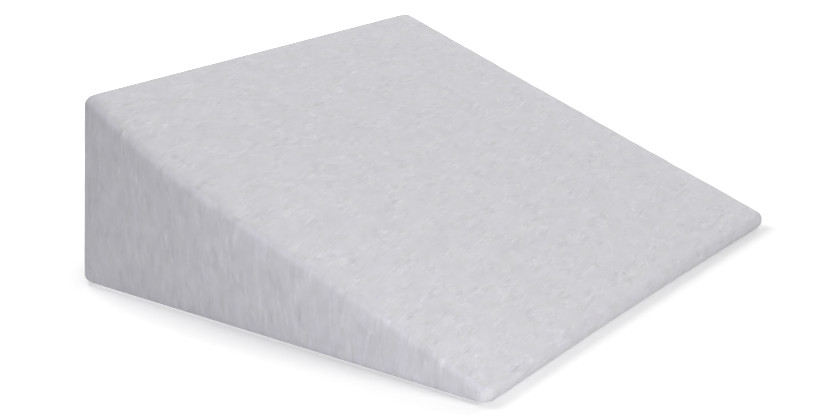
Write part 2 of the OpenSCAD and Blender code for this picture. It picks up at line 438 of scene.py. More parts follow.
class Shading:
    """The nodes of a material or a world, with short ways to add and join them."""

    def __init__(self, owner: Material | bpy.types.World) -> None:
        """Clears the nodes and adds an output.

        Args:
            owner: The new material or world.
        """
        owner.use_nodes = True
        self.owner = owner
        self.nodes = owner.node_tree.nodes
        self.links = owner.node_tree.links
        self.nodes.clear()
        self.output = self.nodes.new("ShaderNodeOutput" + type(owner).__name__)

    def add(
        self, kind: str, inputs: dict[str | int, object] | None = None, **settings: object
    ) -> bpy.types.bpy_prop_collection:
        """Adds a node.

        Args:
            kind: The node's type, without the words that all types share.
            inputs: Values, or sockets to join, by input name or index.
            settings: The node's own properties.

        Returns:
            The node's outputs, by name or index.
        """
        node = self.nodes.new("ShaderNode" + kind)
        for name, value in settings.items():
            setattr(node, name, value)
        for key, value in (inputs or {}).items():
            if isinstance(value, Socket):
                self.links.new(value, node.inputs[key])
            else:
                node.inputs[key].default_value = value
        return node.outputs

    def place(self) -> Socket:
        """Gives the place on the object."""
        return self.add("TexCoord")["Object"]

    def laid(self, place: Socket, size: Point, turn: Point = (0, 0, 0), shift: Point = (0, 0, 0)) -> Socket:
        """Counts places in features.

        Args:
            place: The places.
            size: A feature's size along X, Y and Z.
            turn: The features' turn about X, Y and Z, in radians.
            shift: Their shift along X, Y and Z.

        Returns:
            The socket with the counted places.
        """
        inputs = {"Vector": place, "Location": shift, "Rotation": turn, "Scale": size}
        return self.add("Mapping", inputs, vector_type="TEXTURE")[0]

    def sum(self, terms: list[tuple[Socket, float]], start: float) -> Socket:
        """Adds weighted values to a start value.

        Args:
            terms: Sockets with their weights.
            start: The value to begin with.

        Returns:
            The socket that holds the sum.
        """
        total: Socket | float = start
        for socket, weight in terms:
            total = self.math("MULTIPLY_ADD", socket, weight, total)
        return total

    def math(self, operation: str, *values: Socket | float) -> Socket:
        """Works on up to three sockets or numbers."""
        return self.add("Math", dict(enumerate(values)), operation=operation)[0]

    def blend(self, share: Socket, low: Colour, high: Colour) -> Socket:
        """Mixes two colours, by the share of the second one."""
        return self.add("Mix", {0: share, 6: (*low, 1), 7: (*high, 1)}, data_type="RGBA")[2]

    def times(self, first: Socket, second: Socket) -> Socket:
        """Multiplies two colours."""
        inputs = {0: 1.0, 6: first, 7: second}
        return self.add("Mix", inputs, data_type="RGBA", blend_type="MULTIPLY")[2]

    def specks(self, place: Socket, scale: float = 1.0, detail: float = 2.0, stray: float = 0.0) -> Socket:
        """Adds a cloudy pattern.

        Args:
            place: Where the pattern is read.
            scale: How many features there are in a unit.
            detail: How many finer layers it has.
            stray: How far the features stray from their lines.

        Returns:
            The socket with values around one half.
        """
        inputs = {"Vector": place, "Scale": scale, "Detail": detail, "Distortion": stray}
        return self.add("TexNoise", inputs)[0]

    def ribs(self, pitch: float, slant: float, **stray: float) -> Socket:
        """Adds ribs that slant across X and Z.

        Args:
            pitch: From one rib to the next.
            slant: Their turn about Y, in degrees.
            stray: Inputs of the wave that make them stray.

        Returns:
            The socket with values from 0 to 1.
        """
        lines = self.laid(self.place(), (pitch,) * 3, (0, math.radians(slant), 0))
        wave = {"Vector": lines, "Scale": math.pi / 10, **stray}
        return self.add("TexWave", wave, bands_direction="X")[1]

    def ramp(self, value: Socket, start: float, end: float) -> Socket:
        """Rises smoothly from 0 where a value is at start to 1 where it is at end."""
        inputs = {"Value": value, "From Min": start, "From Max": end}
        return self.add("MapRange", inputs, interpolation_type="SMOOTHSTEP")[0]

    def bump(self, height: Socket, depth: float, under: Socket | None = None) -> Socket:
        """Adds relief.

        Args:
            height: The relief, from 0 to 1.
            depth: How deep it is.
            under: A coarser relief that it lies on.

        Returns:
            The socket with the normals.
        """
        inputs = {"Strength": 1.0, "Distance": depth, "Height": height}
        if under is not None:
            inputs["Normal"] = under
        return self.add("Bump", inputs)[0]

    def seen(self) -> Socket:
        """Tells the camera, mirror and glass rays, which see the white background, from the rest.

        Returns:
            The socket that holds 1 for them and 0 for the rest.
        """
        path = self.add("LightPath")
        direct = self.math("MAXIMUM", path["Is Camera Ray"], path["Is Glossy Ray"])
        return self.math("MAXIMUM", direct, path["Is Transmission Ray"])

    def show(self, shader: Socket) -> None:
        """Joins a shader to the output."""
        self.links.new(shader, self.output.inputs["Surface"])

    def finish(self, **inputs: object) -> Material:
        """Shows a principled shader.

        Args:
            inputs: The shader's inputs, with _ for spaces in their names.

        Returns:
            The finished material.
        """
        named = {name.replace("_", " "): value for name, value in inputs.items()}
        self.show(self.add("BsdfPrincipled", named)[0])
        return self.owner


@dataclass(frozen=True)
class KnitFinish:
    """Heathered knit: a soft mottle with sparse dark and pale flecks along the grain, over fine loops."""

    pale: Colour = (0.716, 0.708, 0.745)
    dark: Colour = (0.518, 0.512, 0.539)
    violet: Colour = (1.002, 0.996, 1.010)
    neutral: Colour = (0.998, 1.003, 0.992)
    loop: Size = (1.1 * MM, 1.5 * MM)
    loop_depth: float = 0.16 * MM
    fuzz_size: Size = (1.2 * MM, 0.5 * MM)
    fuzz_depth: float = 0.10 * MM
    cloud_size: Size = (16 * MM, 11 * MM)
    mottle_size: Size = (48 * MM, 30 * MM)
    hue_size: Size = (26 * MM, 17 * MM)
    patch_size: Size = (30 * MM, 22 * MM)
    fleck_range: Size = (0.55, 0.75)
    dark_fleck: float = 0.34
    pale_fleck: float = 0.40
    cloud: float = 0.50
    mottle: float = 0.30
    yarn: float = 0.22

    def material(self, name: str, grain: Grain) -> Material:
        """Makes the knit for panels of one grain.

        Args:
            name: The material's name.
            grain: How the heather runs, with its tone, which on upright panels is painted cool shade.

        Returns:
            The material.
        """
        shade = Shading(bpy.data.materials.new(name))
        heather = grain.value
        length, width = heather.length, heather.width
        run = shade.add("UVMap", uv_map=CLOTH_MAP)[0]
        turn = (0, 0, math.radians(heather.angle))

        def laid(along: float, across: float, shift: float = 0.0) -> Socket:
            """Counts the cloth's run in features that lie along the grain."""
            return shade.laid(run, (along, across, 1), turn, (shift, 0.7 * shift, 0))

        darker = shade.ramp(shade.specks(laid(length, width, 0.31), 1, 1, 0.25), *self.fleck_range)
        paler = shade.ramp(shade.specks(laid(0.8 * length, width, 0.52), 1, 1, 0.25), *self.fleck_range)
        streak = shade.specks(laid(1.4 * length, 1.7 * width), 1, 3, 0.3)
        yarn = shade.specks(laid(length / 6, width / 4, 0.95), 1, 1)
        cloud = shade.specks(laid(*self.cloud_size, 0.77))
        mottle = shade.specks(laid(*self.mottle_size, 0.41), 1, 1)
        hue = shade.ramp(shade.specks(laid(*self.hue_size, 1.13), 1, 1), 0.35, 0.65)
        patch = shade.ramp(shade.specks(laid(*self.patch_size, 1.61), 1, 1), 0.36, 0.62)
        marks = [
            (streak, heather.streaks),
            (darker, -self.dark_fleck * heather.flecks),
            (paler, self.pale_fleck * heather.flecks),
        ]
        marked = shade.math("MULTIPLY", shade.sum(marks, -heather.streaks / 2), patch)
        centred = [(cloud, self.cloud * heather.clouds), (yarn, self.yarn), (mottle, self.mottle)]
        tone = shade.sum([(marked, 1.0)] + centred, 0.5 - sum(each for _, each in centred) / 2)
        # The grain's tone tints the random hues; on upright panels this adds painted cool shade.
        hues_and_shade_tint = [[a * b for a, b in zip(tint, heather.tone)] for tint in (self.violet, self.neutral)]
        loops = shade.bump(self._loops(shade, laid(*self.loop)), self.loop_depth)
        return shade.finish(
            Base_Color=shade.times(shade.blend(tone, self.dark, self.pale), shade.blend(hue, *hues_and_shade_tint)),
            Roughness=shade.sum([(yarn, 0.12)], 0.86),
            Normal=shade.bump(shade.specks(laid(*self.fuzz_size, 0.2)), self.fuzz_depth, loops),
            Specular_IOR_Level=0.25,
            Sheen_Weight=0.12,
            Sheen_Roughness=0.5,
        )

    def _loops(self, shade: Shading, place: Socket) -> Socket:
        """Draws the face of the knit, with columns of loops that slant to their middle.

        Args:
            shade: The material's nodes.
            place: Courses along X and wales along Y.

        Returns:
            The socket with the relief.
        """
        parts = shade.add("SeparateXYZ", {0: place})
        across = shade.math("FRACT", parts[1])
        slant = shade.math("ABSOLUTE", shade.math("SUBTRACT", across, 0.5))
        phase = shade.math("MULTIPLY", shade.math("MULTIPLY_ADD", slant, 1.1, parts[0]), 2 * math.pi)
        loop = shade.math("MULTIPLY_ADD", shade.math("SINE", phase), 0.25, 0.75)
        column = shade.math("SINE", shade.math("MULTIPLY", across, math.pi))
        return shade.math("MULTIPLY", loop, column)


@dataclass(frozen=True)
class FoamFinish:
    """Off-white foam with open cells."""

    pale: Colour = (0.90, 0.87, 0.79)
    dark: Colour = (0.80, 0.76, 0.66)
    cell: float = 1.4 * MM
    cell_depth: float = 0.3 * MM
    cloud: float = 45 * MM

    def material(self) -> Material:
        """Makes the foam.

        Returns:
            The material.
        """
        shade = Shading(bpy.data.materials.new("foam"))
        place = shade.place()
        cells = shade.add("TexVoronoi", {"Vector": place, "Scale": 1 / self.cell})["Distance"]
        cloud = shade.specks(place, 1 / self.cloud)
        return shade.finish(
            Base_Color=shade.blend(shade.sum([(cells, 0.5), (cloud, 0.6)], -0.1), self.dark, self.pale),
            Roughness=shade.sum([(cloud, 0.1)], 0.88),
            Normal=shade.bump(cells, self.cell_depth),
        )


@dataclass(frozen=True)
class TapeFinish:
    """Grey woven tape with a fine slanting rib."""

    pale: Colour = (0.50, 0.50, 0.53)
    dark: Colour = (0.36, 0.36, 0.39)
    rib: float = 0.9 * MM
    slant: float = 32
    depth: float = 0.12 * MM
    yarn: float = 1.3 * MM

    def material(self) -> Material:
        """Makes the tape.

        Returns:
            The material.
        """
        shade = Shading(bpy.data.materials.new("zip_tape_weave"))
        weave = shade.ribs(self.rib, self.slant, Distortion=0.6, Detail=1.0)
        yarn = shade.specks(shade.place(), 1 / self.yarn)
        return shade.finish(
            Base_Color=shade.blend(shade.sum([(weave, 0.5), (yarn, 0.6)], -0.05), self.dark, self.pale),
            Roughness=shade.sum([(yarn, 0.2)], 0.7),
            Normal=shade.bump(weave, self.depth),
            Sheen_Weight=0.1,
        )


@dataclass(frozen=True)
class MouldedFinish:
    """Satin moulded plastic of the teeth, with a faint flow mottle."""

    pale: Colour = (0.585, 0.585, 0.615)
    dark: Colour = (0.515, 0.515, 0.545)
    flow: float = 6 * MM
    grit: float = 0.35 * MM
    grit_depth: float = 0.01 * MM

    def material(self) -> Material:
        """Makes the plastic.

        Returns:
            The material.
        """
        shade = Shading(bpy.data.materials.new("zip_tooth_plastic"))
        place = shade.place()
        flow = shade.specks(place, 1 / self.flow, 3)
        grit = shade.specks(place, 1 / self.grit, 1)
        return shade.finish(
            Base_Color=shade.blend(shade.sum([(flow, 0.8), (grit, 0.3)], -0.05), self.dark, self.pale),
            Roughness=shade.sum([(flow, 0.2), (grit, 0.1)], 0.27),
            Normal=shade.bump(grit, self.grit_depth),
        )


@dataclass(frozen=True)
class PlatedFinish:
    """Satin nickel plate, with brushed streaks and brighter worn edges."""

    pale: Colour = (0.74, 0.74, 0.75)
    dark: Colour = (0.56, 0.56, 0.58)
    streak: Point = (5 * MM, 0.22 * MM, 0.22 * MM)
    streak_depth: float = 0.006 * MM
    stain: float = 4 * MM

    def material(self) -> Material:
        """Makes the plated metal.

        Returns:
            The material.
        """
        shade = Shading(bpy.data.materials.new("zip_nickel"))
        place = shade.place()
        streaks = shade.specks(shade.laid(place, self.streak))
        stain = shade.specks(place, 1 / self.stain, 3)
        worn = shade.add("NewGeometry")["Pointiness"]
        tone = shade.sum([(streaks, 0.4), (stain, 0.5), (worn, 1.2)], -0.55)
        return shade.finish(
            Base_Color=shade.blend(tone, self.dark, self.pale),
            Metallic=1.0,
            Roughness=shade.sum([(streaks, 0.15), (stain, 0.15)], 0.18),
            Normal=shade.bump(streaks, self.streak_depth),
        )


@dataclass(frozen=True)
class ThreadFinish:
    """Twisted sewing thread, a shade paler than the knit."""

    pale: Colour = (0.74, 0.73, 0.76)
    dark: Colour = (0.58, 0.575, 0.605)
    twist: float = 0.7 * MM
    slant: float = 40
    depth: float = 0.05 * MM
    fluff: float = 0.8 * MM

    def material(self) -> Material:
        """Makes the thread.

        Returns:
            The material.
        """
        shade = Shading(bpy.data.materials.new("topstitch_thread"))
        twist = shade.ribs(self.twist, self.slant)
        fluff = shade.specks(shade.place(), 1 / self.fluff)
        return shade.finish(
            Base_Color=shade.blend(shade.sum([(twist, 0.6), (fluff, 0.5)], -0.05), self.dark, self.pale),
            Roughness=shade.sum([(fluff, 0.2)], 0.6),
            Normal=shade.bump(twist, self.depth),
            Sheen_Weight=0.1,
        )


@dataclass
class WedgeForm:
    """The closed soft form that the cover is cut from and that the foam fills."""

    width: float = 610 * MM
    depth: float = 523 * MM
    back_height: float = 210 * MM
    lip_height: float = 17 * MM
    lip_flat: float = 2 * MM
    edge_radii: Point = (13.5 * MM, 13.5 * MM, 13 * MM)
    foot_radii: Point = (15 * MM, 15 * MM, 10 * MM)
    lip_foot: float = 7.5 * MM
    corner_radius: float = 13 * MM
    draw_in: float = 20 * MM
    lip_waist: float = 2.5 * MM
    top_crown: float = 1.2 * MM
    side_crown: float = 0.8 * MM
    back_crown: float = 1.0 * MM
    calm_height: float = 61 * MM
    calm_fade: float = 25 * MM
    lip_fade: float = 70 * MM
    lip_freedom: float = 0.25
    base_fade: Size = (2 * MM, 14 * MM)
    back_fade: Size = (-12 * MM, -4 * MM)
    steps: tuple[int, int, int] = (36, 34, 14)
    round_steps: int = 3
    swell_limit: float = 2.6 * MM
    swell_frames: int = 20
    pressure: float = 4.0
    seam_hold: float = 18 * MM
    left_drop: float = 3 * MM
    left_bow: float = 14 * MM
    bow_reach: float = 100 * MM
    bow_lean: float = 1.9
    ridge_ripple: float = 0.7 * MM
    ridge_reach: float = 60 * MM
    ridge_width: float = 16 * MM
    ridge_length: float = 18 * MM
    ridge_end: Size = (-40 * MM, -15 * MM)
    seam_pucker: float = 0.25 * MM
    pucker_reach: float = 9 * MM
    pucker_length: float = 8 * MM
    drift: float = 0.7 * MM
    drift_reach: float = 60 * MM
    drift_length: float = 95 * MM
    seeds: Point = (3.1, 7.7, 1.3)

    def __post_init__(self) -> None:
        """Works out the faces' normals and distances, and the centres of the rounded corners."""
        slope = math.atan((self.back_height - self.lip_height) / self.depth)
        lean = math.atan(self.draw_in / self.back_height)
        nose_rise = self.corner_radius * math.tan(slope) * (1 - math.sin(slope))
        self.lip_radius = (self.lip_height - self.lip_flat + nose_rise) / (1 + math.cos(slope))
        self.normals = np.array([
            [[-math.cos(lean), 0, math.sin(lean)], [math.cos(lean), 0, math.sin(lean)]],
            [[0, -1, 0], [0, 1, 0]],
            [[0, 0, -1], [0, -math.sin(slope), math.cos(slope)]],
        ])
        on_faces = np.array([
            [[-self.width / 2, 0, 0], [self.width / 2, 0, 0]],
            [[0, -self.depth / 2, 0], [0, self.depth / 2, 0]],
            [[0, 0, 0], [0, -self.depth / 2, self.lip_height]],
        ])
        distances = np.sum(self.normals * on_faces, axis=2)
        self.corners = {}
        for ends in np.ndindex(2, 2, 2):
            radii = self._radii(ends)
            faces = np.array([self.normals[axis][end] for axis, end in enumerate(ends)])
            inset = [
                distances[axis][end] - np.dot(face, face * radii)
                for axis, (end, face) in enumerate(zip(ends, faces))
            ]
            self.corners[ends] = np.linalg.solve(faces, inset)

    def _radii(self, corner: tuple[int, int, int]) -> np.ndarray:
        """Gives the radii along X, Y and Z at a corner.

        Args:
            corner: Its end of the X, Y and Z axes, 0 or 1.

        Returns:
            The three radii.
        """
        _, back, top = corner
        if back:
            return np.array(self.edge_radii if top else self.foot_radii)
        return np.array([self.corner_radius] * 2 + [self.lip_radius if top else self.lip_foot])

    def build(self) -> Object:
        """Models the form, lets it swell and puckers its seams.

        Returns:
            The closed mesh, with a material index for each panel and the cloth's run as a UV map.
        """
        form = self._grid_block()
        self._shape(form)
        refine(form)
        self._swell(form)
        refine(form)
        self._pucker(form)
        return form

    def _grid_block(self) -> Object:
        """Models a block of one unit a step, cut into squares along each axis.

        Returns:
            The block.
        """
        form = add_block("wedge_form", (0, 0, 0), self.steps)
        with editing(form):
            for axis, count in enumerate(self.steps):
                pick(form, "EDGE", lambda edge, along=axis: runs_along(edge, along))
                bpy.ops.mesh.subdivide(number_cuts=count - 1)
        return form

    def _shape(self, form: Object) -> None:
        """Moves the block's points onto the wedge, and marks its panels and the cloth's run.

        Args:
            form: The block of squares.
        """
        index = np.rint(points_of(form)).astype(int)
        skin = self.skin(index)
        set_points(form, skin)
        mesh = form.data
        order = list(Panel)
        for panel in order:
            mesh.materials.append(bpy.data.materials.new(CUT_MARK + panel.value))
        run = np.zeros((len(mesh.loops), 2))
        up_lip, up_slope = self.profile()
        for face in mesh.polygons:
            corners = list(face.vertices)
            panel, lip = self._panel_of(index[corners])
            face.material_index = order.index(panel)
            for loop, corner in zip(face.loop_indices, corners):
                across, along, up = skin[corner]
                if panel is Panel.TOP:
                    run[loop] = across, up_lip[index[corner][2]] if lip else up_slope[index[corner][1]]
                elif panel is Panel.BOTTOM:
                    run[loop] = across, along
                else:
                    run[loop] = across if panel is Panel.BACK else along, up
        layer = mesh.uv_layers.new(name=CLOTH_MAP)
        layer.uv.foreach_set("vector", run.astype(np.float32).ravel())

    def _lines(self, index: np.ndarray, count: int) -> tuple[np.ndarray, np.ndarray, np.ndarray]:
        """Places grid lines across one axis.

        Args:
            index: Numbers of the lines.
            count: Number of the last line.

        Returns:
            The share of the way between the rounded ends, how far the line leans to the face at
            its end, and which end that is.
        """
        rounds = self.round_steps
        share = np.clip((index - rounds) / (count - 2 * rounds), 0, 1)
        beyond = np.maximum(np.maximum(rounds - index, index - (count - rounds)), 0)
        lean = np.tan(math.pi / 4 * beyond / rounds)
        return share, lean, (index > count / 2).astype(int)

    def skin(self, index: np.ndarray) -> np.ndarray:
        """Gives points of the cushion's skin.

        Args:
            index: Numbers of the grid lines through each point, one row each.

        Returns:
            The points, one row each.
        """
        lines = [self._lines(index[:, axis], self.steps[axis]) for axis in range(3)]
        shares = [share for share, _, _ in lines]
        out = sum(lean[:, None] * self.normals[axis][end] for axis, (_, lean, end) in enumerate(lines))
        out /= np.linalg.norm(out, axis=1)[:, None]
        level = out[:, :2] / np.maximum(np.linalg.norm(out[:, :2], axis=1), TINY)[:, None]
        under = (out[:, 2] < 0)[:, None]
        points = np.zeros_like(out)
        for corner, centre in self.corners.items():
            radii = self._radii(corner)
            reach = out * radii
            if not corner[2]:
                reach[:, :2] += under * (radii[:2] - radii[2]) * (level - out[:, :2])
            weight = np.prod([s if end else 1 - s for s, end in zip(shares, corner)], axis=0)
            points += weight[:, None] * (centre + reach)
        self._crown(points, index, shares)
        return points

    def _crown(self, points: np.ndarray, index: np.ndarray, shares: list[np.ndarray]) -> None:
        """Crowns the faces, and lets the left ridge bow out and sag.

        Args:
            points: The skin's points, which are moved.
            index: Grid lines through each point.
            shares: Shares of the way along X, Y and Z.
        """
        across, along, up = shares
        rise = np.clip((up - self._calm_share()) / (1 - self._calm_share()), 0, 1)
        middle = [4 * share * (1 - share) for share in (across, along, up, rise)]
        points[:, 1] += self.lip_waist * middle[0] * (1 - along)
        crowns = [
            (2, 1, self.top_crown * middle[0] * middle[1]),
            (1, 1, self.back_crown * middle[0] * middle[3]),
            (0, 0, self.side_crown * middle[1] * middle[2]),
            (0, 1, self.side_crown * middle[1] * middle[2]),
        ]
        for axis, end, height in crowns:
            on_face = index[:, axis] == end * self.steps[axis]
            points += (on_face * height)[:, None] * self.normals[axis][end]
        near = (points[:, 0] < 0) * self._near_side(points, self.bow_reach)
        give = near * up**2 * np.sin(math.pi * along**self.bow_lean)
        points[:, 0] -= self.left_bow * give
        points[:, 2] -= self.left_drop * give

    def _near_side(self, points: np.ndarray, reach: float) -> np.ndarray:
        """Says how near points are to a side: 0 beyond a reach, 1 at the side."""
        half_width = self.width / 2 - self.draw_in * points[:, 2] / self.back_height
        return np.clip(1 - (half_width - np.abs(points[:, 0])) / reach, 0, 1) ** 2

    def _calm_share(self) -> float:
        """Gives the share of the back's height that stays flat behind the zip."""
        low, high = self.foot_radii[2], self.corners[(0, 1, 1)][2]
        return (self.calm_height - low) / (high - low)

    def profile(self) -> tuple[np.ndarray, np.ndarray]:
        """Measures the cloth from the seam under the lip.

        Returns:
            The lengths at the grid lines up the lip, and at those along the slope.
        """
        middle = self.steps[0] // 2
        lip = self.skin(np.array([[middle, 0, k] for k in range(self.steps[2] + 1)]))
        slope = self.skin(np.array([[middle, j, self.steps[2]] for j in range(self.steps[1] + 1)]))
        lengths = []
        start = 0.0
        for line in (lip, slope):
            spans = np.linalg.norm(np.diff(line, axis=0), axis=1)
            lengths.append(start + np.concatenate([[0], np.cumsum(spans)]))
            start = lengths[-1][-1]
        return lengths[0], lengths[1]

    def _panel_of(self, index: np.ndarray) -> tuple[Panel, bool]:
        """Tells which panel a face belongs to.

        Args:
            index: Grid lines of the face's corners.

        Returns:
            The panel, and whether the face is on the lip.
        """
        low, high = index.min(axis=0), index.max(axis=0)
        if low[2] == self.steps[2] or high[1] == 0:
            return Panel.TOP, high[1] == 0
        if high[0] == 0:
            return Panel.LEFT, False
        if low[0] == self.steps[0]:
            return Panel.RIGHT, False
        return (Panel.BACK if low[1] == self.steps[1] else Panel.BOTTOM), False

    def _seam_gaps(self, form: Object) -> np.ndarray:
        """Measures how far each point of the form lies from the nearest seam.

        Args:
            form: The closed form.

        Returns:
            One distance a point.
        """
        mesh = form.data
        lowest = np.full(len(mesh.vertices), len(Panel))
        highest = np.full(len(mesh.vertices), -1)
        for face in mesh.polygons:
            for corner in face.vertices:
                lowest[corner] = min(lowest[corner], face.material_index)
                highest[corner] = max(highest[corner], face.material_index)
        points = points_of(form)
        seams = np.flatnonzero(lowest < highest)
        tree = kdtree.KDTree(len(seams))
        for number, seam in enumerate(seams):
            tree.insert(points[seam], number)
        tree.balance()
        return np.array([tree.find(point)[2] for point in points])

    def _freedom(self, form: Object) -> np.ndarray:
        """Says how freely each point may move: not at the base, at the zip or on the thin lip.

        Args:
            form: The closed form.

        Returns:
            One value a point, from 0 to 1.
        """
        points = points_of(form)
        front, back = -self.depth / 2, self.depth / 2
        clear_of_base = smooth_step(points[:, 2], *self.base_fade)
        behind = smooth_step(points[:, 1], *(back + gap for gap in self.back_fade))
        above_zip = smooth_step(points[:, 2], self.calm_height, self.calm_height + self.calm_fade)
        past_lip = smooth_step(points[:, 1], front, front + self.lip_fade)
        least = self.lip_freedom
        return clear_of_base * (1 - behind * (1 - above_zip)) * (least + (1 - least) * past_lip)

    def _swell(self, form: Object) -> None:
        """Lets the cover swell between its seams as cloth, and applies the result.

        Args:
            form: The closed form.
        """
        start = points_of(form)
        held = np.clip(1 - self._seam_gaps(form) / self.seam_hold, 0, 1)
        held = np.maximum(held, 1 - self._freedom(form))
        group = form.vertex_groups.new(name="held")
        for number, weight in enumerate(held):
            group.add([number], float(weight), "REPLACE")
        modifier = form.modifiers.new("swell", "CLOTH")
        cloth = modifier.settings
        cloth.quality = 5
        cloth.mass = 0.05
        cloth.tension_stiffness = 15
        cloth.compression_stiffness = 15
        cloth.shear_stiffness = 10
        cloth.bending_stiffness = 1
        cloth.use_pressure = True
        cloth.uniform_pressure_force = self.pressure
        cloth.vertex_group_mass = group.name
        cloth.effector_weights.gravity = 0
        modifier.collision_settings.use_collision = False
        modifier.point_cache.frame_end = self.swell_frames
        for number in range(1, self.swell_frames + 1):
            bpy.context.scene.frame_set(number)
        activate(form)
        bpy.ops.object.modifier_apply(modifier=modifier.name)
        form.vertex_groups.clear()
        bpy.context.scene.frame_set(1)
        moved = points_of(form) - start
        far = np.linalg.norm(moved, axis=1)
        kept = self.swell_limit * (1 - np.exp(-far / self.swell_limit))
        LOG.info("cover swelled by up to %.1f mm, kept %.1f mm", far.max() / MM, kept.max() / MM)
        set_points(form, start + moved * (kept / np.maximum(far, TINY))[:, None])

    def _pucker(self, form: Object) -> None:
        """Adds the small ripples of a sewn and worn cover.

        Args:
            form: The closed form.
        """
        points = points_of(form)
        gaps = self._seam_gaps(form)
        back = self.depth / 2
        ridge_seed, pucker_seed, drift_seed = self.seeds
        before_back = 1 - smooth_step(points[:, 1], *(back + gap for gap in self.ridge_end))
        near_ridge = np.exp(-((gaps / self.ridge_width) ** 2))
        on_ridge = self._near_side(points, self.ridge_reach) * before_back * near_ridge
        ripples = self.ridge_ripple * on_ridge * ripple(points, self.ridge_length, ridge_seed)
        at_seam = np.exp(-gaps / self.pucker_reach)
        puckers = self.seam_pucker * at_seam * ripple(points, self.pucker_length, pucker_seed)
        inland = smooth_step(gaps, 0, self.drift_reach)
        drifts = self.drift * inland * ripple(points, self.drift_length, drift_seed)
        moves = (ripples + puckers + drifts) * self._freedom(form)
        points += moves[:, None] * points_of(form, "normal")
        points[:, 2] = np.maximum(points[:, 2], 0)
        set_points(form, points)


@dataclass
class ZipOpening:
    """Where the back is parted for the zip."""

    height: float = 45 * MM
    half_length: float = 250 * MM
    slot: float = 12 * MM
    back: float = 261.5 * MM
    ease: float = 24 * MM
    hem_depth: float = 3 * MM

    def edge(self, across: np.ndarray) -> np.ndarray:
        """Gives how far the opening's edge stands from the zip's centre line.

        Args:
            across: Places across the back.

        Returns:
            One distance a place.
        """
        radius = self.slot / 2
        past = np.clip(np.abs(across) - (self.half_length - radius), 0, radius)
        return np.sqrt(np.maximum(radius**2 - past**2, 0))

    def columns(self) -> list[float]:
        """Gives the places across at which the cloth is cut finer for the rounded ends.

        Returns:
            The places.
        """
        radius = self.slot / 2
        angles = [math.radians(step) for step in (0, 25, 50, 70, 90)]
        ends = [self.half_length - radius + radius * math.sin(angle) for angle in angles]
        return [sign * end for sign in (-1, 1) for end in ends]

    def borders(self, place: Vector) -> bool:
        """Says whether a place on the parted back lies on the opening's edge."""
        at_slot = abs(place.z - self.height) < self.slot / 2 + NEAR
        return at_slot and place.y > self.back - self.hem_depth and abs(place.x) < self.half_length


